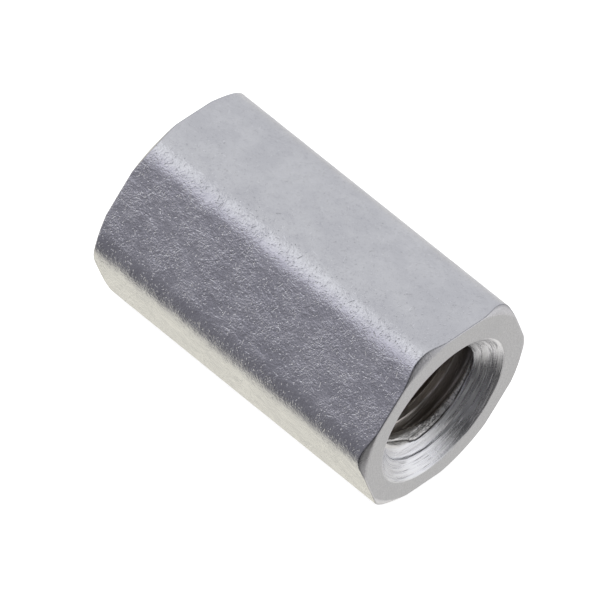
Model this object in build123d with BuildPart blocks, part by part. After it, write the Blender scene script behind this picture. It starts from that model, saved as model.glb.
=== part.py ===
from build123d import *
import math
import os

# Female-female hexagonal circuit board standoff, turned from rounded hexagonal
# aluminium bar, tapped right through. Millimetres. The axis runs along X, one
# flat lies on the ground plane at Z = 0, and X = 0 is half way along.

length = 10.0                 # overall, end face to end face
across_flats = 6.0            # hexagonal bar
corner_radius = 1.05          # rounded corners of the bar
end_face_diameter = 6.07      # turned end face, just wider than the flats
end_chamfer_angle = 30.0      # of the corner chamfer, from the end face
thread_major = 4.0            # M4 x 0.7
thread_pitch = 0.7
thread_minor = 3.3            # wall of the tapped hole
countersink_diameter = 4.7    # mouth of the lead-in cone on each end face
countersink_angle = 100.0     # included angle of the cone

half = length / 2
axis_height = across_flats / 2
clear = 1.0                   # how far the cutting profiles run past the bar

cone_depth = (countersink_diameter - thread_minor) / 2 / math.tan(
    math.radians(countersink_angle / 2)
)
wall_length = length - 2 * cone_depth
across_corners = 2 * (
    (across_flats / 2 - corner_radius) / math.cos(math.radians(30)) + corner_radius
)
turning_radius = across_corners / 2 + clear
turning_depth = (turning_radius - end_face_diameter / 2) * math.tan(
    math.radians(end_chamfer_angle)
)

# Section plane of the bar: normal along +X, sketch X along +Y, sketch Y along +Z.
section = Plane(origin=(-half, 0, axis_height), x_dir=(0, 1, 0), z_dir=(1, 0, 0))
# Turning plane: holds the axis, sketch X along +X, sketch Y along +Z.
turning = Plane(origin=(0, 0, axis_height), x_dir=(1, 0, 0), z_dir=(0, -1, 0))
bar_axis = Axis((0, 0, axis_height), (1, 0, 0))

with BuildPart() as hex_standoff:
    # Hexagonal bar with rounded corners, flats at the top and the bottom.
    with BuildSketch(section) as bar_section:
        RegularPolygon(radius=across_flats / 2, side_count=6, major_radius=False)
        fillet(bar_section.vertices(), radius=corner_radius)
    extrude(amount=length)

    # Both ends turned: the corners are chamfered down to the round end face.
    with BuildSketch(turning) as turned_outline:
        with BuildLine():
            Polyline(
                (-half, 0),
                (-half, end_face_diameter / 2),
                (-half + turning_depth, turning_radius),
                (half - turning_depth, turning_radius),
                (half, end_face_diameter / 2),
                (half, 0),
                close=True,
            )
        make_face()
    revolve(axis=bar_axis, mode=Mode.INTERSECT)

    # Tapped hole at its minor diameter, with a lead-in cone at each end.
    with BuildSketch(turning) as bore_outline:
        with BuildLine():
            Polyline(
                (-half, 0),
                (-half, countersink_diameter / 2),
                (-half + cone_depth, thread_minor / 2),
                (half - cone_depth, thread_minor / 2),
                (half, countersink_diameter / 2),
                (half, 0),
                close=True,
            )
        make_face()
    revolve(axis=bar_axis, mode=Mode.SUBTRACT)

hex_standoff.part.label = "hex_standoff"

os.makedirs("parts", exist_ok=True)
export_step(hex_standoff.part, "parts/hex_standoff.step")

print("across corners", round(across_corners, 4))
print("cone depth", round(cone_depth, 4), "wall length", round(wall_length, 4))
print("volume mm3", round(hex_standoff.part.volume, 3))
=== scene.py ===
import math

import bpy
import numpy as np
from mathutils import Matrix, Vector


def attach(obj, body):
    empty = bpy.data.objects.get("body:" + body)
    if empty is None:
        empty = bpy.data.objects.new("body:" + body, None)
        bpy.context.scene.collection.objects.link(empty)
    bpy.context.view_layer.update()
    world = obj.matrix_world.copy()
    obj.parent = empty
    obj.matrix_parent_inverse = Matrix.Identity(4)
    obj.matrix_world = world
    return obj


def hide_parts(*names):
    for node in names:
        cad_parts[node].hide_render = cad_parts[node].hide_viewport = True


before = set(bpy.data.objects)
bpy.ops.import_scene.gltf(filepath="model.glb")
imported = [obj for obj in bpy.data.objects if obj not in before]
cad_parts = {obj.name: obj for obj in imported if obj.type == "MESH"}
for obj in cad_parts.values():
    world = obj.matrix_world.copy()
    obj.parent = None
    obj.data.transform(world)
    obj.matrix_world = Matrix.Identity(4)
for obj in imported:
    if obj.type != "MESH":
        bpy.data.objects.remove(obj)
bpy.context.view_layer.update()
MM = 0.001

# ---------------------------------------------------------------- sizes, mm
HALF = 5.0            # half the length
FLAT = 3.0            # axis to flat, and height of the axis over the floor
CORNER = 1.05         # corner radius of the bar
FACE_R = 3.035        # turned end face
CHAMFER = math.tan(math.radians(30.0))
MOUTH_R = 2.35        # countersink at the end face
CONE = math.tan(math.radians(50.0))
MINOR, MAJOR, PITCH = 1.65, 2.0, 0.7
CREST_DEPTH = 0.77    # deeper edge of the first crest, at angle CREST_AT
CREST_AT = math.radians(-60.0)
EDGE = 0.022          # half width of a broken edge
TILT = math.radians(1.6)                 # of the slightly crowned flats, at their edges
FLAT_HALF = (CORNER * math.sin(TILT) + math.tan(math.radians(30.0)) * (FLAT - CORNER * math.cos(TILT))) / (1 + math.tan(math.radians(30.0)) * TILT / 2)
CROWN = TILT * FLAT_HALF / 2
CORNER_C = (FLAT - CROWN - CORNER * math.cos(TILT)) / math.cos(math.radians(30.0))


# ---------------------------------------------------------------- noise
def _hash(ix, iy, iz, seed):
    h = (ix.astype(np.uint32) * np.uint32(374761393)
         ^ iy.astype(np.uint32) * np.uint32(668265263)
         ^ iz.astype(np.uint32) * np.uint32(2147483647)
         ^ np.uint32(seed * 2654435761 & 0xFFFFFFFF))
    h = (h ^ (h >> np.uint32(13))) * np.uint32(1274126177)
    h = h ^ (h >> np.uint32(16))
    h = (h ^ (h >> np.uint32(11))) * np.uint32(2246822519)
    h = h ^ (h >> np.uint32(15))
    return h.astype(np.float64) / 4294967295.0 * 2.0 - 1.0


def noise(x, y, z=0.0, seed=1):
    """Smooth value noise in -1..1."""
    x, y, z = np.broadcast_arrays(np.asarray(x, float), np.asarray(y, float), np.asarray(z, float))
    fx, fy, fz = np.floor(x), np.floor(y), np.floor(z)
    tx, ty, tz = x - fx, y - fy, z - fz
    ix, iy, iz = (f.astype(np.int64) + 100000 for f in (fx, fy, fz))
    tx, ty, tz = (t * t * t * (t * (t * 6 - 15) + 10) for t in (tx, ty, tz))
    out = 0.0
    for dx in (0, 1):
        wx = tx if dx else 1 - tx
        for dy in (0, 1):
            wy = ty if dy else 1 - ty
            for dz in (0, 1):
                wz = tz if dz else 1 - tz
                out = out + wx * wy * wz * _hash(ix + dx, iy + dy, iz + dz, seed)
    return out


# ---------------------------------------------------------------- columns
def section(n_arc=8, n_flat=20):
    """Outline of the bar: radius-vector angle, radius, outward normal angle and distance round the outline, for each column."""
    pts = []
    sweep = math.radians(30.0) - TILT
    for k in range(6):
        base = math.radians(60.0 * k)
        for i in range(n_arc + 1):                       # corner middle to its end
            t = sweep * i / n_arc
            pts.append((base, CORNER_C + CORNER * math.cos(t), CORNER * math.sin(t), base + t))
        for i in range(1, 2 * n_flat + 1):               # along the flat
            f = -1 + 2 * i / (2 * n_flat)
            mid = base + math.radians(30.0)
            pts.append((mid, FLAT - CROWN * f * f, FLAT_HALF * f, mid + TILT * f))
        nxt = base + math.radians(60.0)
        for i in range(1, n_arc):                        # up to the next corner's middle
            t = -sweep * (1 - i / n_arc)
            pts.append((nxt, CORNER_C + CORNER * math.cos(t), CORNER * math.sin(t), nxt + t))
    rows = []
    for b, x, y, n in pts:
        rows.append((x * math.cos(b) - y * math.sin(b), x * math.sin(b) + y * math.cos(b), n))
    p = np.array(rows)
    ang = np.unwrap(np.arctan2(p[:, 1], p[:, 0]))
    rad = np.hypot(p[:, 0], p[:, 1])
    step = np.hypot(*(np.roll(p[:, :2], -1, 0) - p[:, :2]).T)
    along = np.concatenate([[0.0], np.cumsum(step)])
    return ang, rad, p[:, 2], along


ANG, RAD, NRM, ALONG = section()
NC = len(ANG)                     # outer columns
NI = NC // 2                      # inner columns
ANG_I = ANG[::2]


class Builder:
    def __init__(self):
        self.co, self.n = [], 0
        self.edges = []
        self.quads, self.uv, self.mat = [], [], []
        self.tris, self.tuv, self.tmat = [], [], []

    def ring(self, x, radius, ang):
        """Adds a ring of points, given as x, radius and angle arrays, and returns its indices."""
        x, radius = np.broadcast_to(x, ang.shape), np.broadcast_to(radius, ang.shape)
        self.co.append(np.stack([x, radius * np.cos(ang), FLAT + radius * np.sin(ang)], 1))
        ids = np.arange(self.n, self.n + len(ang))
        self.n += len(ang)
        return ids

    def band(self, a, b, ua, ub, va, vb, mat, shift=0):
        """Quads between rings a and b. shift: not used."""
        a2, b2 = np.roll(a, -1), np.roll(b, -1)
        q = np.stack([a, a2, b2, b], 1)
        uv = np.stack([np.stack([ua[:-1], va[:-1]], 1), np.stack([ua[1:], va[1:]], 1),
                       np.stack([ub[1:], vb[1:]], 1), np.stack([ub[:-1], vb[:-1]], 1)], 1)
        self.add(q, uv, mat)

    def add(self, q, uv, mat):
        same = ((q[:, 0] == q[:, 1]) | (q[:, 1] == q[:, 2]) | (q[:, 2] == q[:, 3]) | (q[:, 3] == q[:, 0]))
        self.quads.append(q[~same]); self.uv.append(uv[~same]); self.mat.append(np.full((~same).sum(), mat))
        for row, w in zip(q[same], uv[same]):
            keep, seen = [], []
            for i in range(4):
                if row[i] not in seen:
                    seen.append(row[i]); keep.append(i)
            if len(seen) == 3:
                self.tris.append(seen); self.tuv.append(w[keep]); self.tmat.append(mat)

    def mesh(self, name):
        co = np.concatenate(self.co) * MM
        quads, uv, mat = np.concatenate(self.quads), np.concatenate(self.uv), np.concatenate(self.mat)
        tris = np.array(self.tris, dtype=np.int64).reshape(-1, 3)
        used = np.zeros(len(co), bool)
        used[quads.ravel()] = True
        used[tris.ravel()] = True
        new = np.cumsum(used) - 1
        co, quads, tris = co[used], new[quads], new[tris]
        me = bpy.data.meshes.new(name)
        nq, nt = len(quads), len(tris)
        me.vertices.add(len(co)); me.vertices.foreach_set("co", co.astype(np.float32).ravel())
        me.loops.add(nq * 4 + nt * 3)
        me.loops.foreach_set("vertex_index", np.concatenate([quads.ravel(), tris.ravel()]).astype(np.int32))
        me.polygons.add(nq + nt)
        me.polygons.foreach_set("loop_start", np.concatenate([np.arange(nq) * 4, nq * 4 + np.arange(nt) * 3]).astype(np.int32))
        me.polygons.foreach_set("material_index", np.concatenate([mat, np.array(self.tmat, dtype=np.int64)]).astype(np.int32))
        me.polygons.foreach_set("use_smooth", np.ones(nq + nt, bool))
        layer = me.uv_layers.new(name="Unrolled")
        all_uv = np.concatenate([uv.reshape(-1, 2), np.array(self.tuv, float).reshape(-1, 2)]) if nt else uv.reshape(-1, 2)
        layer.data.foreach_set("uv", all_uv.astype(np.float32).ravel())
        me.update(calc_edges=True)
        # the listed edge rings are marked 1 in the 'edge' attribute, which the materials use for a painted shade line
        # along the broken edges
        mark = np.zeros(len(used), np.float32)
        mark[np.concatenate(self.edges)] = 1.0
        me.attributes.new("edge", "FLOAT", "POINT").data.foreach_set("value", mark[used])
        me.validate()
        return me


# ---------------------------------------------------------------- inner surface
MOUTH_SHIFT = {+1: (-0.055, -0.080), -1: (0.03, 0.02)}    # slightly eccentric countersinks


def cone_radius(depth, ang, end):
    """Countersink radius at a depth below that end's face."""
    sy, sz = MOUTH_SHIFT[end]
    fade = np.clip(1 - depth / 0.75, 0, 1)
    r = MOUTH_R - depth * CONE + fade * (sy * np.cos(ang) + sz * np.sin(ang))
    y, z = np.cos(ang) * 1.3, np.sin(ang) * 1.3
    s = 11 if end > 0 else 23
    rings = 0.0075 * noise(depth * 15.0, y, z, s) + 0.0040 * noise(depth * 34.0, y * 2.2, z * 2.2, s + 1)
    steps = 0.006 * np.tanh(3.0 * noise(depth * 8.0 + 4.0, y * 0.6, z * 0.6, s + 2))
    return r + (rings + steps) * np.clip(depth / 0.05, 0, 1)


def phase(depth, ang):
    """Place in the thread's pitch: 0 at a crest's deeper edge."""
    d0 = CREST_DEPTH - PITCH * (ang - CREST_AT) / (2 * math.pi)
    return np.mod((depth - d0) / PITCH, 1.0)


Q_ROOT0, Q_ROOT1, Q_CREST = 0.2887, 0.4137, 0.7024


def thread_radius(depth, ang):
    q = phase(depth, ang)
    r = np.interp(q, [0.0, 0.012, 0.030, Q_ROOT0 - 0.02, Q_ROOT0 + 0.02, Q_ROOT1 - 0.02, Q_ROOT1 + 0.02, Q_CREST - 0.030, Q_CREST - 0.010, Q_CREST + 0.008, 1.0 - 0.010, 1.0],
                  [MINOR + 0.004, MINOR + 0.014, MINOR + 0.035, MAJOR - 0.022, MAJOR - 0.002, MAJOR - 0.002, MAJOR - 0.022,
                   MINOR + 0.034, MINOR + 0.010, MINOR, MINOR, MINOR + 0.004])
    y, z = np.cos(ang), np.sin(ang)
    # torn edge where the tap starts, dying out down the hole
    ragged = np.clip(1.15 - depth / 0.9, 0, 1)
    edge = np.exp(-((q - Q_CREST) / 0.06) ** 2) + np.exp(-((q - 1.0) / 0.05) ** 2) + np.exp(-(q / 0.05) ** 2)
    tear = np.clip(noise(y * 9 + 3, z * 9, depth * 14, 31) + 0.25, 0, 1)
    fine = noise(y * 21, z * 21 + 7, depth * 30, 32)
    r = r - ragged * edge * (0.020 * tear + 0.006 * fine)
    # long tool marks on the flanks and the crest
    r = r + 0.0022 * noise(depth * 26, y * 1.5, z * 1.5, 33) + 0.0012 * noise(depth * 60, y * 3, z * 3, 34)
    return r


def step(v, lo, hi):
    t = np.clip((v - lo) / (hi - lo), 0, 1)
    return t * t * (3 - 2 * t)


def around(ang, at):
    """Cosine of the angle between ang and at, in degrees."""
    return np.cos(ang - math.radians(at))


def lip(depth, ang, front):
    """Rolled lip of the first crest, the thin groove between it and the countersink, and how far the lip is folded over the first thread groove."""
    s = 71 if front else 81
    edge = CREST_DEPTH - PITCH * (ang - CREST_AT) / (2 * math.pi)
    if not front:
        edge = 2 * HALF - edge + PITCH * (1.0 - Q_CREST)
    edge = (edge - 0.35) % PITCH + 0.35
    y, z = np.cos(ang), np.sin(ang)
    fold = FOLD * step(around(ang, -122.0), 0.52, 0.96)
    lean = LIP_LEAN * np.clip(edge - depth, 0.0, 0.36)
    worn = 0.010 * noise(y * 7, z * 7, depth * 12, s) + 0.006 * noise(y * 19, z * 19, depth * 30, s + 1)
    on = np.clip((edge + fold - depth) / 0.03, 0, 1) * np.clip((depth - 0.40) / 0.05, 0, 1)
    at = 0.600 + 0.20 * step(around(ang, -120.0), 0.88, 0.995) + 0.012 * noise(y * 2.5, z * 2.5, 0.0, s + 2)
    keep = np.clip(1.2 + 1.6 * noise(y * 3.0, z * 3.0, 5.0, s + 3), 0.15, 1.0)
    groove = 0.036 * keep * np.exp(-((depth - at) / 0.024) ** 2)
    cover = MINOR + 1.9 * np.clip(depth - edge - fold, 0.0, 1.0) + np.where(depth < edge, lean, 0.0) + worn * on
    covered = (depth > edge - 0.05) & (depth < edge + 0.40) & (fold > 0.004)
    return MINOR + (lean + worn) * on, groove, np.where(covered, cover, 9.0)


LIP_LEAN = 0.26
FOLD = 0.19


def inner_radius(depth, ang):
    out = thread_radius(depth, ang)
    for front in (True, False):
        d = depth if front else 2 * HALF - depth
        near = d < 1.25
        r, groove, cover = lip(d, ang, front)
        cone = cone_radius(d, ang, +1 if front else -1)
        edged = np.maximum(np.maximum(np.minimum(out, cover), cone), np.where(near, r, 0.0))
        out = np.where(near, edged + groove, out)
    return out


def helical_patch(b, d_from, d_to, ring_from, ring_to, per_pitch, mat):
    """Rows that follow the thread, between two plain rings at depths d_from and d_to."""
    ang = ANG_I
    span = 2 * math.pi
    qs = per_pitch
    n = len(qs)
    d0 = CREST_DEPTH - PITCH * (ang - CREST_AT) / span
    k0 = math.floor((d_from - d0.max()) / PITCH) - 1
    k1 = math.ceil((d_to - d0.min()) / PITCH) + 1
    rows = [(k, i) for k in range(k0, k1 + 1) for i in range(n)]
    depth = np.array([[d + PITCH * (k + qs[i]) for d in d0] for k, i in rows])      # rows x columns
    tol = 0.35 * PITCH / n
    before, after = depth < d_from + tol, depth > d_to - tol
    # rows near the edge that the cone cuts into the thread are moved onto it
    for end in (+1, -1):
        for c in range(len(ang)):
            dd = np.linspace(0.2, 0.8, 601)
            deep = dd if end > 0 else 2 * HALF - dd
            f = cone_radius(dd, np.full_like(dd, ang[c]), end) - thread_radius(deep, np.full_like(dd, ang[c]))
            cross = np.nonzero(np.sign(f[1:]) != np.sign(f[:-1]))[0]
            for j in cross:
                t = f[j] / (f[j] - f[j + 1])
                at = deep[j] + (deep[j + 1] - deep[j]) * t
                r = int(np.abs(depth[:, c] - at).argmin())
                lo = depth[r - 1, c] if r > 0 else -9
                hi = depth[r + 1, c] if r < len(rows) - 1 else 99
                if lo + 0.1 * PITCH / n < at < hi - 0.1 * PITCH / n and d_from + tol < at < d_to - tol:
                    depth[r, c] = at
    rad = inner_radius(depth, ang[None, :].repeat(len(rows), 0))
    ids = np.empty(depth.shape, np.int64)
    good = ~(before | after)
    flat = np.nonzero(good.ravel())[0]
    aa = ang[None, :].repeat(len(rows), 0)
    b.co.append(np.stack([HALF - depth[good], rad[good] * np.cos(aa[good]), FLAT + rad[good] * np.sin(aa[good])], 1))
    ids.ravel()[flat] = np.arange(b.n, b.n + len(flat))
    b.n += len(flat)
    ids[before] = np.broadcast_to(ring_from, depth.shape)[before]
    ids[after] = np.broadcast_to(ring_to, depth.shape)[after]
    dcl = np.clip(depth, d_from, d_to)
    q, uv = [], []
    nr, nc = depth.shape
    r = np.arange(nr - 1)
    for c in range(nc):
        if c < nc - 1:
            q.append(np.stack([ids[:-1, c], ids[:-1, c + 1], ids[1:, c + 1], ids[1:, c]], 1))
            ua, ub = ang[c], ang[c + 1]
            uv.append(np.stack([np.stack([np.full(nr - 1, ua), dcl[:-1, c]], 1), np.stack([np.full(nr - 1, ub), dcl[:-1, c + 1]], 1),
                                np.stack([np.full(nr - 1, ub), dcl[1:, c + 1]], 1), np.stack([np.full(nr - 1, ua), dcl[1:, c]], 1)], 1))
        else:                       # a full turn on, row r meets row r - n
            rr = np.arange(n, nr - 1)
            q.append(np.stack([ids[rr, c], ids[rr - n, 0], ids[rr + 1 - n, 0], ids[rr + 1, c]], 1))
            ua, ub = ang[c], ang[0] + span
            uv.append(np.stack([np.stack([np.full(len(rr), ua), dcl[rr, c]], 1), np.stack([np.full(len(rr), ub), dcl[rr - n, 0]], 1),
                                np.stack([np.full(len(rr), ub), dcl[rr + 1 - n, 0]], 1), np.stack([np.full(len(rr), ua), dcl[rr + 1, c]], 1)], 1))
    b.add(np.concatenate(q), np.concatenate(uv), mat)


def thread_rows(count):
    """Places of the rows in one pitch, with one on each edge of the profile."""
    keys = [0.0, 0.030, Q_ROOT0 - 0.02, Q_ROOT1 + 0.02, Q_CREST - 0.030, Q_CREST, 1.0]
    spans = np.diff(keys)
    extra = count - len(spans)
    parts = np.ones(len(spans), int)
    for _ in range(extra):
        parts[(spans / parts).argmax()] += 1
    out = []
    for a, s, p in zip(keys[:-1], spans, parts):
        out += [a + s * i / p for i in range(p)]
    return out


# ---------------------------------------------------------------- whole body
SKIN, FACE, BORE, CUT = 0, 1, 2, 3


def skin_drop(x, ang, nrm, rad):
    """How far the tumbled and etched skin lies below the true flat: shallow waves and soft dents. Never above it."""
    y, z = rad * np.cos(ang), rad * np.sin(ang)
    w = (0.0016 * noise(x * 1.3, y * 1.3, z * 1.3, 41) + 0.0011 * noise(x * 3.4, y * 3.4, z * 3.4, 42)
         + 0.0008 * noise(x * 7.0, y * 7.0, z * 7.0, 43))
    return 0.0036 - w


def build():
    b = Builder()
    nA, nI = NC, NI
    full = np.append(ANG, ANG[0] + 2 * math.pi)
    full_i = np.append(ANG_I, ANG_I[0] + 2 * math.pi)
    face_rad = np.minimum(FACE_R, RAD - 0.040)
    edge_x = HALF - (RAD - face_rad) * CHAMFER

    # side: rows from the back edge to the front edge
    inner_s = np.linspace(-1, 1, 119)
    offs = [0.0, EDGE, 0.040, 0.07]
    rows = []
    for o in offs:
        rows.append(-edge_x + o)
    for s in inner_s:
        rows.append(s * (edge_x - 0.12))
    for o in offs[::-1]:
        rows.append(edge_x - o)
    ids, us = [], ALONG
    total = len(rows)
    for j, x in enumerate(rows):
        drop = skin_drop(x, ANG, NRM, RAD)
        if j in (0, total - 1):
            drop = drop + 0.30 * EDGE
        cy, cz = RAD * np.cos(ANG) - drop * np.cos(NRM), RAD * np.sin(ANG) - drop * np.sin(NRM)
        ids.append(b.ring(x, np.hypot(cy, cz), np.unwrap(np.arctan2(cz, cy))))
    for j in range(total - 1):
        va, vb = np.append(rows[j], rows[j][0]), np.append(rows[j + 1], rows[j + 1][0])
        b.band(ids[j], ids[j + 1], us, us, va, vb, SKIN)

    def end(sign, edge_ring):
        """Chamfer, face and countersink mouth of one end, from the edge inwards. Returns the ring at depth D0."""
        seq = []                                   # (ring, material of the band that reaches it, u, v)
        radial = RAD - face_rad
        length = np.hypot(radial, radial * CHAMFER)
        tw = np.minimum(EDGE / length, 0.34)
        e = 51 if sign > 0 else 61
        def chamfer_ring(t, lower=0.0):
            rr = RAD - 0.0036 - (radial - 0.0036) * t
            xx = edge_x + (HALF - edge_x) * t
            wob = 0.0010 * noise(np.cos(ANG) * 9, np.sin(ANG) * 9, t * 3, e)
            return b.ring(sign * (xx - lower - np.abs(wob)), rr - lower, ANG)
        for k, t in enumerate((tw, 0.36 + 0 * tw, 0.64 + 0 * tw, 1 - tw)):
            seq.append((chamfer_ring(t), CUT if k else SKIN))
        seq.append((b.ring(sign * (HALF - 0.30 * EDGE), face_rad - 0.30 * EDGE, ANG), CUT))
        def face_x(rr, ang):
            y, z = rr * np.cos(ang), rr * np.sin(ang)
            w = 0.0007 * noise(rr * 9, np.cos(ang) * 0.8, np.sin(ang) * 0.8, e + 1) + 0.0006 * noise(y * 3, z * 3, 0, e + 2)
            return sign * (HALF - 0.0014 + w)
        sy, sz = MOUTH_SHIFT[sign]
        def mouth(ang):
            return MOUTH_R + sy * np.cos(ang) + sz * np.sin(ang)
        for k in (0, 1, 2, 3, 4):
            t = (0.0, 0.06, 0.2, 0.36, 0.52)[k]
            rr = (face_rad - EDGE) * (1 - t) + (mouth(ANG) + EDGE) * t
            seq.append((b.ring(face_x(rr, ANG), rr, ANG), FACE))
        rings_o = seq
        prev = edge_ring
        for ring, mat in rings_o:
            if sign > 0:
                b.band(prev, ring, us, us, np.full(nA + 1, 5.0), np.full(nA + 1, 5.1), mat)
            else:
                b.band(ring, prev, us, us, np.full(nA + 1, 5.0), np.full(nA + 1, 5.1), mat)
            prev = ring
        # each chamfer's first ring also carries the painted shade line
        b.edges.append(rings_o[0][0])
        # half as many columns from here in
        rows_i = []
        for t in (0.68, 0.84, 0.95, 1.0):
            rr = ((face_rad[::2] - EDGE) * (1 - t) + (mouth(ANG_I) + EDGE) * t)
            rows_i.append((b.ring(face_x(rr, ANG_I), rr, ANG_I), FACE))
        rows_i.append((b.ring(sign * (HALF - 0.32 * EDGE), mouth(ANG_I) + 0.32 * EDGE, ANG_I), FACE))
        for d in (0.6 * EDGE, 0.024, 0.042, 0.060, 0.080, 0.100, 0.120, 0.143):
            rows_i.append((b.ring(sign * (HALF - d), cone_radius(np.full(nI, d), ANG_I, sign), ANG_I), BORE))
        last = b.ring(sign * (HALF - 0.17), cone_radius(np.full(nI, 0.17), ANG_I, sign), ANG_I)
        rows_i.append((last, BORE))
        first = rows_i[0][0]
        o, i = prev, first
        o1, o2, i2 = np.roll(o, -1)[::2], np.roll(o, -2)[::2], np.roll(i, -1)
        o0 = o[::2]
        zero = np.zeros((nI, 3, 2))
        for tri in ((o0, o1, i), (o1, i2, i), (o1, o2, i2)):
            tt = np.stack(tri if sign > 0 else tri[::-1], 1)
            for row, w in zip(tt, zero):
                b.tris.append(list(row)); b.tuv.append(w); b.tmat.append(FACE)
        for (a, _), (c, mat) in zip(rows_i[:-1], rows_i[1:]):
            va, vb = np.full(nI + 1, 0.0), np.full(nI + 1, 0.1)
            if sign > 0:
                b.band(a, c, full_i, full_i, va, vb, mat)
            else:
                b.band(c, a, full_i, full_i, va, vb, mat)
        return last

    # the skin's end rings carry the painted shade line along the broken edges
    b.edges += [ids[0], ids[-1]]
    front = end(+1, ids[-1])
    back = end(-1, ids[0])
    ring1 = b.ring(HALF - 2.0, inner_radius(np.full(nI, 2.0), ANG_I), ANG_I)
    ring2 = b.ring(HALF - 8.2, inner_radius(np.full(nI, 8.2), ANG_I), ANG_I)
    helical_patch(b, 0.17, 2.0, front, ring1, thread_rows(34), BORE)
    helical_patch(b, 2.0, 8.2, ring1, ring2, thread_rows(10), BORE)
    helical_patch(b, 8.2, 9.83, ring2, back, thread_rows(20), BORE)
    return b.mesh("standoff_body")


body = bpy.data.objects.new("standoff_body", build())
bpy.context.scene.collection.objects.link(body)


# ---------------------------------------------------------------- materials
class Nodes:
    """Small helper for building a node tree."""

    def __init__(self, name):
        self.mat = bpy.data.materials.new(name)
        self.mat.use_nodes = True
        self.t = self.mat.node_tree
        self.t.nodes.clear()
        self.out = self.t.nodes.new("ShaderNodeOutputMaterial")
        self.bsdf = self.t.nodes.new("ShaderNodeBsdfPrincipled")
        self.t.links.new(self.bsdf.outputs[0], self.out.inputs[0])

    def put(self, socket, value):
        if isinstance(value, bpy.types.NodeSocket):
            self.t.links.new(value, socket)
        elif value is not None:
            socket.default_value = value

    def math(self, op, a, b=None, c=None, clamp=False):
        n = self.t.nodes.new("ShaderNodeMath")
        n.operation, n.use_clamp = op, clamp
        for i, v in enumerate((a, b, c)):
            self.put(n.inputs[i], v)
        return n.outputs[0]

    def vec(self, op, a, b=None, scale=None):
        n = self.t.nodes.new("ShaderNodeVectorMath")
        n.operation = op
        self.put(n.inputs[0], a)
        if b is not None:
            self.put(n.inputs[1], b)
        if scale is not None:
            self.put(n.inputs["Scale"], scale)
        return n.outputs["Value"] if op in ("DOT_PRODUCT", "LENGTH") else n.outputs["Vector"]

    def noise(self, vector, scale, detail=2.0, rough=0.5, distort=0.0, dims="3D"):
        n = self.t.nodes.new("ShaderNodeTexNoise")
        n.noise_dimensions = dims
        self.put(n.inputs["Vector"], vector)
        n.inputs["Scale"].default_value = scale
        n.inputs["Detail"].default_value = detail
        n.inputs["Roughness"].default_value = rough
        n.inputs["Distortion"].default_value = distort
        return n.outputs[0]

    def mark(self, name):
        n = self.t.nodes.new("ShaderNodeAttribute")
        n.attribute_name = name
        return n.outputs["Fac"]

    def cells(self, vector, scale, feature):
        n = self.t.nodes.new("ShaderNodeTexVoronoi")
        n.feature = feature
        self.put(n.inputs["Vector"], vector)
        n.inputs["Scale"].default_value = scale
        return n.outputs["Distance"]

    def ramp(self, value, lo, hi, to_lo=0.0, to_hi=1.0, smooth=True):
        n = self.t.nodes.new("ShaderNodeMapRange")
        n.interpolation_type = "SMOOTHSTEP" if smooth else "LINEAR"
        self.put(n.inputs["Value"], value)
        n.inputs["From Min"].default_value, n.inputs["From Max"].default_value = lo, hi
        n.inputs["To Min"].default_value, n.inputs["To Max"].default_value = to_lo, to_hi
        return n.outputs[0]

    def mix(self, fac, a, b):
        n = self.t.nodes.new("ShaderNodeMix")
        n.data_type = "RGBA"
        self.put(n.inputs["Factor"], fac)
        self.put(n.inputs["A"], a)
        self.put(n.inputs["B"], b)
        return n.outputs["Result"]

    def bump(self, height, strength, distance, normal=None):
        n = self.t.nodes.new("ShaderNodeBump")
        n.inputs["Strength"].default_value = strength
        n.inputs["Distance"].default_value = distance
        self.put(n.inputs["Height"], height)
        if normal is not None:
            self.put(n.inputs["Normal"], normal)
        return n.outputs[0]

    def object_mm(self, stretch=(1, 1, 1)):
        c = self.t.nodes.new("ShaderNodeTexCoord")
        m = self.t.nodes.new("ShaderNodeMapping")
        m.inputs["Scale"].default_value = [s * 1000.0 for s in stretch]
        self.t.links.new(c.outputs["Object"], m.inputs["Vector"])
        return m.outputs[0]

    def unrolled(self, offset=(0, 0, 0), scale=(1, 1, 1), turn=0.0):
        u = self.t.nodes.new("ShaderNodeUVMap")
        u.uv_map = "Unrolled"
        m = self.t.nodes.new("ShaderNodeMapping")
        m.inputs["Location"].default_value = offset
        m.inputs["Scale"].default_value = scale
        m.inputs["Rotation"].default_value = (0, 0, turn)
        self.t.links.new(u.outputs[0], m.inputs["Vector"])
        return m.outputs[0]

    def nicks(self, vector, scale, width, length, keep):
        """Short straight nicks in random directions, one in some of the cells of a Voronoi pattern. 1 in a nick."""
        v = self.t.nodes.new("ShaderNodeTexVoronoi")
        v.voronoi_dimensions = "2D"
        v.feature = "F1"
        v.inputs["Randomness"].default_value = 1.0
        self.put(v.inputs["Vector"], vector)
        v.inputs["Scale"].default_value = scale
        # Position is in texture space divided by scale: back in the vector's own units
        d = self.vec("SUBTRACT", vector, v.outputs["Position"])
        s = self.t.nodes.new("ShaderNodeSeparateXYZ")
        self.put(s.inputs[0], d)
        c = self.t.nodes.new("ShaderNodeSeparateColor")
        self.put(c.inputs[0], v.outputs["Color"])
        ang = self.math("MULTIPLY", c.outputs[0], 6.2832)
        ca, sa = self.math("COSINE", ang), self.math("SINE", ang)
        across = self.math("ABSOLUTE", self.math("SUBTRACT", self.math("MULTIPLY", s.outputs[0], ca), self.math("MULTIPLY", s.outputs[1], sa)))
        along = self.math("ABSOLUTE", self.math("ADD", self.math("MULTIPLY", s.outputs[0], sa), self.math("MULTIPLY", s.outputs[1], ca)))
        a = self.ramp(across, width, 0.0)
        l = self.ramp(along, length, length * 0.5)
        k = self.ramp(c.outputs[1], keep, keep - 0.15)
        return self.math("MULTIPLY", self.math("MULTIPLY", a, l), k)


def metal(n, color, rough, normal):
    n.put(n.bsdf.inputs["Base Color"], color)
    n.bsdf.inputs["Metallic"].default_value = 1.0
    n.put(n.bsdf.inputs["Roughness"], rough)
    n.put(n.bsdf.inputs["Normal"], normal)
    return n.mat


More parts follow.
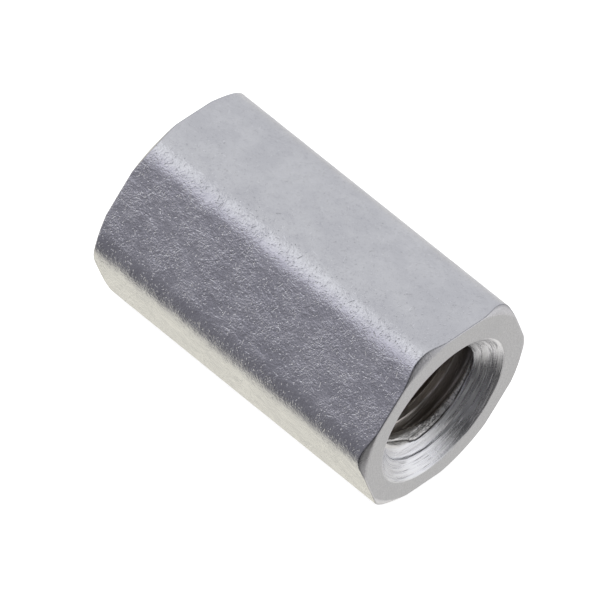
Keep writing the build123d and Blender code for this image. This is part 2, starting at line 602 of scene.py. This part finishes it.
def skin_material():
    n = Nodes("etched_skin")
    p = n.object_mm()
    uv = n.unrolled()
    cloud = n.noise(p, 1.1, 3.0, 0.55)
    blotch = n.noise(p, 4.5, 3.0, 0.6)
    patch = n.noise(p, 1.9, 2.0, 0.55)
    grain = n.noise(p, 13.5, 3.0, 0.62)
    fine = n.noise(p, 32.0, 1.0, 0.5)
    pits = n.cells(p, 11.0, "SMOOTH_F1")
    chips = n.cells(p, 19.0, "F1")
    specks = n.ramp(n.noise(p, 9.0, 1.0, 0.5), 0.66, 0.74)
    nick_a = n.nicks(uv, 6.5, 0.024, 0.034, 0.34)
    nick_b = n.nicks(n.unrolled((3.7, 1.9, 0), (1, 1, 1), 0.6), 8.5, 0.020, 0.027, 0.34)
    nick_c = n.nicks(n.unrolled((8.1, 5.3, 0), (1, 1, 1), -0.9), 2.6, 0.020, 0.110, 0.34)
    nicks = n.math("MAXIMUM", n.math("MAXIMUM", nick_a, nick_b), nick_c)
    # sparse spark cells: shallow pits in the height, and painted highlights (glints) in the colour
    spark_pits_and_glints = n.math("MULTIPLY", n.ramp(n.cells(p, 6.0, "F1"), 0.15, 0.03), n.ramp(n.noise(p, 1.6, 2.0, 0.6), 0.36, 0.56, 0.25, 1.0))
    color = n.mix(n.ramp(cloud, 0.35, 0.65), (0.60, 0.60, 0.625, 1), (0.66, 0.66, 0.68, 1))
    color = n.mix(n.math("MULTIPLY", n.ramp(blotch, 0.45, 0.75), 0.30), color, (0.52, 0.52, 0.55, 1))
    color = n.mix(n.math("MULTIPLY", n.ramp(grain, 0.30, 0.46, 1.0, 0.0), 0.25), color, (0.40, 0.40, 0.42, 1))
    # painted highlight: spark cells get a much lighter base colour as painted glints; nicks get a slightly lighter one
    color = n.mix(n.math("MAXIMUM", n.math("MULTIPLY", nicks, 0.26), n.math("MULTIPLY", spark_pits_and_glints, 0.60)), color, (0.86, 0.86, 0.88, 1))
    # painted shade: a dark line along the broken edges between the skin and the chamfers
    edge = n.mark("edge")
    color = n.mix(n.math("MULTIPLY", edge, 0.75), color, (0.22, 0.22, 0.235, 1))
    rough = n.math("ADD", n.ramp(blotch, 0.3, 0.7, 0.19, 0.27), n.math("MULTIPLY", nicks, -0.04))
    h = n.math("ADD", n.math("MULTIPLY", grain, 0.66), n.math("MULTIPLY", fine, 0.22))
    h = n.math("ADD", h, n.math("ADD", n.math("MULTIPLY", pits, 0.24), n.math("MULTIPLY", chips, 0.26)))
    sep = n.t.nodes.new("ShaderNodeSeparateXYZ")
    n.put(sep.inputs[0], p)
    y, z = sep.outputs[1], n.math("SUBTRACT", sep.outputs[2], 3.0)
    rad = n.math("SQRT", n.math("ADD", n.math("MULTIPLY", y, y), n.math("MULTIPLY", z, z)))
    rubbed = n.ramp(rad, 3.15, 3.26, 1.0, 0.58)
    h = n.math("MULTIPLY", n.math("MULTIPLY", h, rubbed), n.ramp(patch, 0.34, 0.66, 0.55, 1.18))
    h = n.math("SUBTRACT", h, n.math("ADD", n.math("MULTIPLY", nicks, 0.30), n.math("ADD", n.math("MULTIPLY", specks, 0.22), n.math("MULTIPLY", spark_pits_and_glints, 0.42))))
    return metal(n, color, rough, n.bump(h, 1.0, 0.000026))


def face_material(name, base, low, high, grain_h, ring_h, depth, edged=False):
    n = Nodes(name)
    p = n.object_mm()
    grain = n.noise(p, 18.0, 2.0, 0.6)
    blotch = n.noise(p, 2.5, 3.0, 0.6)
    stain = n.noise(p, 0.9, 2.0, 0.5)
    sep = n.t.nodes.new("ShaderNodeSeparateXYZ")
    n.put(sep.inputs[0], p)
    y, z = sep.outputs[1], n.math("SUBTRACT", sep.outputs[2], 3.0)
    rad = n.math("SQRT", n.math("ADD", n.math("MULTIPLY", y, y), n.math("MULTIPLY", z, z)))
    comb = n.t.nodes.new("ShaderNodeCombineXYZ")
    n.put(comb.inputs[0], n.math("MULTIPLY", rad, 13.0))
    n.put(comb.inputs[1], n.math("MULTIPLY", y, 0.5))
    n.put(comb.inputs[2], n.math("MULTIPLY", z, 0.5))
    rings = n.noise(comb.outputs[0], 1.0, 2.0, 0.6)
    r, g, b = base
    color = n.mix(n.ramp(blotch, 0.35, 0.65), (r * 0.95, g * 0.95, b * 0.95, 1), (r * 1.05, g * 1.05, b * 1.05, 1))
    color = n.mix(n.math("MULTIPLY", n.ramp(stain, 0.5, 0.7), 0.25), color, (r * 0.86, g * 0.87, b * 0.90, 1))
    if edged:
        # painted shade: the same dark line along the chamfer's outer edge, where it meets the skin
        color = n.mix(n.math("MULTIPLY", n.mark("edge"), 0.60), color, (0.22, 0.22, 0.235, 1))
    color = n.mix(n.math("MULTIPLY", n.ramp(grain, 0.60, 0.40), 0.42), color, (r * 0.72, g * 0.72, b * 0.73, 1))
    rough = n.ramp(blotch, 0.3, 0.7, low, high)
    h = n.math("ADD", n.math("MULTIPLY", grain, grain_h), n.math("MULTIPLY", rings, ring_h))
    return metal(n, color, rough, n.bump(h, 1.0, depth))


def bore_material():
    n = Nodes("cut_bore")
    raw = n.object_mm()
    sep = n.t.nodes.new("ShaderNodeSeparateXYZ")
    n.put(sep.inputs[0], raw)
    depth = n.math("SUBTRACT", 5.0, n.math("ABSOLUTE", sep.outputs[0]))
    y, z = sep.outputs[1], n.math("SUBTRACT", sep.outputs[2], 3.0)
    rad = n.math("SQRT", n.math("ADD", n.math("MULTIPLY", y, y), n.math("MULTIPLY", z, z)))
    deep = n.ramp(depth, 0.80, 1.05)
    streak = n.noise(n.object_mm((22.0, 1.0, 1.0)), 1.0, 2.0, 0.6, 0.2)
    fine = n.noise(n.object_mm((42.0, 1.7, 1.7)), 1.0, 2.0, 0.6)
    cuts = n.noise(n.object_mm((36.0, 0.8, 0.8)), 1.0, 1.0, 0.5, 0.3)
    cut = n.ramp(cuts, 0.62, 0.72)
    patch = n.noise(raw, 1.3, 2.0, 0.5)
    worn = n.ramp(patch, 0.40, 0.62)
    grain = n.noise(raw, 18.0, 2.0, 0.6)
    # mask of the rolled lip of the first crest; it gets a painted highlight in the colour and more roughness
    lip = n.math("MULTIPLY", n.ramp(depth, 0.58, 0.64), n.ramp(depth, 1.20, 1.00))
    lip = n.math("MULTIPLY", lip, n.ramp(rad, 1.86, 1.76))
    fleck = n.noise(raw, 8.5, 2.0, 0.6, 0.8)
    torn = n.math("MULTIPLY", lip, n.ramp(fleck, 0.54, 0.42))
    # painted shade: mask of the hole's +y side, used to make the torn flecks darker there
    right = n.ramp(n.math("DIVIDE", y, rad), -0.30, 0.35)
    # painted shade: a near-black line in the crease between the lip and the countersink, lying deeper towards -120
    # degrees round the hole
    way = n.math("DIVIDE", n.math("ADD", n.math("MULTIPLY", y, -0.500), n.math("MULTIPLY", z, -0.866)), rad)
    at = n.math("ADD", n.ramp(patch, 0.2, 0.8, 0.588, 0.612), n.ramp(way, 0.88, 0.995, 0.0, 0.20))
    off = n.math("ABSOLUTE", n.math("SUBTRACT", depth, at))
    groove_shade_line = n.math("MULTIPLY", n.ramp(off, 0.030, 0.008), n.ramp(n.noise(raw, 2.6, 2.0, 0.5), 0.30, 0.52, 0.35, 1.0))
    color = n.mix(n.ramp(streak, 0.35, 0.65), (0.62, 0.62, 0.64, 1), (0.80, 0.80, 0.81, 1))
    color = n.mix(n.math("MULTIPLY", n.math("MULTIPLY", cut, worn), 0.45), color, (0.28, 0.28, 0.29, 1))
    # painted highlight: the lip is made much lighter than the countersink
    color = n.mix(n.math("MULTIPLY", lip, 0.85), color, (0.90, 0.88, 0.84, 1))
    # torn flecks on the lip are darker, and painted shade makes them darker still on the hole's +y side
    color = n.mix(n.math("MULTIPLY", torn, n.math("MULTIPLY_ADD", right, 0.60, 0.10)), color, (0.30, 0.295, 0.30, 1))
    # painted shade line in the crease under the lip
    color = n.mix(n.math("MULTIPLY", groove_shade_line, 0.85), color, (0.10, 0.095, 0.09, 1))
    # down the hole the thread takes a warmer, darker tone, and its roots, towards the major radius, get painted shade
    thread = n.mix(n.ramp(rad, 1.70, 1.97), (0.57, 0.525, 0.48, 1), (0.37, 0.335, 0.30, 1))
    color = n.mix(deep, color, thread)
    rough = n.math("ADD", n.ramp(streak, 0.3, 0.7, 0.20, 0.30), n.math("ADD", n.math("MULTIPLY", grain, 0.06), n.math("MAXIMUM", n.math("MULTIPLY", deep, 0.10), n.math("MULTIPLY", lip, 0.18))))
    h = n.math("ADD", n.math("MULTIPLY", streak, 0.80), n.math("ADD", n.math("MULTIPLY", fine, 0.75), n.math("MULTIPLY", grain, 0.35)))
    h = n.math("SUBTRACT", h, n.math("MULTIPLY", n.math("MULTIPLY", cut, worn), 0.7))
    h = n.math("SUBTRACT", h, n.math("MULTIPLY", torn, 0.6))
    return metal(n, color, rough, n.bump(h, 1.0, 0.0000140))


for m in (skin_material(), face_material("turned_face", (0.675, 0.675, 0.682), 0.42, 0.50, 1.0, 1.0, 0.0000066),
          bore_material(), face_material("turned_chamfer", (0.66, 0.655, 0.675), 0.26, 0.34, 1.0, 0.8, 0.0000045, True)):
    body.data.materials.append(m)

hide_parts("hex_standoff")
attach(body, "root")


# ---------------------------------------------------------------- camera
cam = bpy.data.cameras.new("camera")
cam.sensor_fit, cam.sensor_width = "HORIZONTAL", 36.0
cam.lens = 905.0
cam.clip_start, cam.clip_end = 0.02, 20.0
camera = bpy.data.objects.new("camera", cam)
bpy.context.scene.collection.objects.link(camera)
right = Vector((0.7223415, 0.6666615, 0.1838074))
up = Vector((-0.5806499, 0.4403385, 0.6847975))
back = Vector((0.3755907, -0.6013854, 0.7051718))
at = (Vector((150.63354, -241.57638, 285.98054)) - right * 0.008 + up * 0.008) * MM
camera.matrix_world = Matrix((
    (right.x, up.x, back.x, at.x),
    (right.y, up.y, back.y, at.y),
    (right.z, up.z, back.z, at.z),
    (0, 0, 0, 1)))
bpy.context.scene.camera = camera

# ---------------------------------------------------------------- floor and light
s = 1.0
fm = bpy.data.meshes.new("floor")
fm.from_pydata([(-s, -s, 0), (s, -s, 0), (s, s, 0), (-s, s, 0)], [], [(0, 1, 2, 3)])
floor = bpy.data.objects.new("floor", fm)
bpy.context.scene.collection.objects.link(floor)
floor.visible_glossy = False           # the studio below is what the metal mirrors
fmat = bpy.data.materials.new("pale_floor")
fmat.use_nodes = True
fb = fmat.node_tree.nodes["Principled BSDF"]
fb.inputs["Base Color"].default_value = (0.86, 0.86, 0.855, 1)
fb.inputs["Roughness"].default_value = 0.9
fb.inputs["Specular IOR Level"].default_value = 0.0
fb.inputs["Emission Color"].default_value = (1.0, 1.0, 1.0, 1)
fb.inputs["Emission Strength"].default_value = 0.80
floor.data.materials.append(fmat)

world = bpy.data.worlds.new("studio")
bpy.context.scene.world = world
world.use_nodes = True
wt = world.node_tree
wt.nodes.clear()
w_out = wt.nodes.new("ShaderNodeOutputWorld")
w_bg = wt.nodes.new("ShaderNodeBackground")
w_cam = wt.nodes.new("ShaderNodeBackground")
w_cam.inputs[0].default_value = (1, 1, 1, 1)
w_cam.inputs[1].default_value = 1.1
w_mix = wt.nodes.new("ShaderNodeMixShader")
w_lp = wt.nodes.new("ShaderNodeLightPath")
wt.links.new(w_lp.outputs["Is Camera Ray"], w_mix.inputs[0])
wt.links.new(w_bg.outputs[0], w_mix.inputs[1])
wt.links.new(w_cam.outputs[0], w_mix.inputs[2])
wt.links.new(w_mix.outputs[0], w_out.inputs[0])
w_tc = wt.nodes.new("ShaderNodeTexCoord")


def w_dot(direction):
    n = wt.nodes.new("ShaderNodeVectorMath")
    n.operation = "DOT_PRODUCT"
    wt.links.new(w_tc.outputs["Generated"], n.inputs[0])
    n.inputs[1].default_value = Vector(direction).normalized()
    return n.outputs["Value"]


def w_range(value, lo, hi, a, b):
    n = wt.nodes.new("ShaderNodeMapRange")
    n.interpolation_type = "SMOOTHSTEP"
    wt.links.new(value, n.inputs["Value"])
    n.inputs["From Min"].default_value, n.inputs["From Max"].default_value = lo, hi
    n.inputs["To Min"].default_value, n.inputs["To Max"].default_value = a, b
    return n.outputs[0]


def w_lobe(direction, inner, outer, amount):
    return w_range(w_dot(direction), math.cos(math.radians(outer)), math.cos(math.radians(inner)), 0.0, amount)


def w_add(a, b, op="ADD"):
    n = wt.nodes.new("ShaderNodeMath")
    n.operation = op
    wt.links.new(a, n.inputs[0])
    wt.links.new(b, n.inputs[1])
    return n.outputs[0]


def w_tint(fac, a, b):
    n = wt.nodes.new("ShaderNodeMix")
    n.data_type = "RGBA"
    wt.links.new(fac, n.inputs["Factor"])
    if isinstance(a, tuple):
        n.inputs["A"].default_value = a
    else:
        wt.links.new(a, n.inputs["A"])
    n.inputs["B"].default_value = b
    return n.outputs["Result"]


# a wide pale wall behind, a soft box overhead, a white card under the part, and a dim room in front over a pale table
wall = w_range(w_dot((-0.45, 0.80, -0.05)), -0.50, 0.14, 0.075, 0.82)
top_box = w_lobe((-0.376, -0.475, 0.795), 10, 34, 0.58)
low_box = w_lobe((0.93, -0.04, -0.35), 8, 27, 0.10)
side_box = w_lobe((0.70, 0.62, 0.34), 14, 44, 0.32)
card = w_lobe((-0.42, 0.26, -0.87), 18, 52, 0.15)
under = w_lobe((0.24, 0.08, -0.965), 8, 26, 0.22)
front = w_lobe((-0.376, -0.80, 0.47), 6, 36, 0.33)
fill = w_lobe((0.42, -0.83, 0.36), 12, 38, 0.27)
z = w_dot((0.0, 0.0, 1.0))
table = w_add(w_range(z, -0.06, 0.10, 0.16, 0.0), w_range(z, -0.72, -0.45, 0.0, 1.0), "MULTIPLY")
table = w_add(table, w_range(w_dot((-0.46, -0.88, 0.0)), 0.30, 0.80, 0.0, 1.0), "MULTIPLY")
strength = wall
for part in (top_box, side_box, low_box, card, under, front, fill, table):
    strength = w_add(strength, part)
wt.links.new(strength, w_bg.inputs[1])
tint = w_tint(w_range(w_dot((0, 0.2, 1.0)), -0.5, 0.5, 0.0, 1.0), (1.0, 0.985, 0.965, 1), (0.955, 0.965, 1.0, 1))
tint = w_tint(w_range(w_dot((-0.6, 0.1, -0.8)), 0.68, 0.92, 0.0, 1.0), tint, (1.0, 0.975, 0.865, 1))
tint = w_tint(w_range(w_dot((0.1, -1.0, 0.0)), 0.2, 0.8, 0.0, 1.0), tint, (0.89, 0.88, 1.0, 1))
wt.links.new(tint, w_bg.inputs[0])

view = bpy.context.scene.view_settings
view.view_transform, view.look, view.exposure, view.gamma = "Standard", "None", 0.0, 1.0
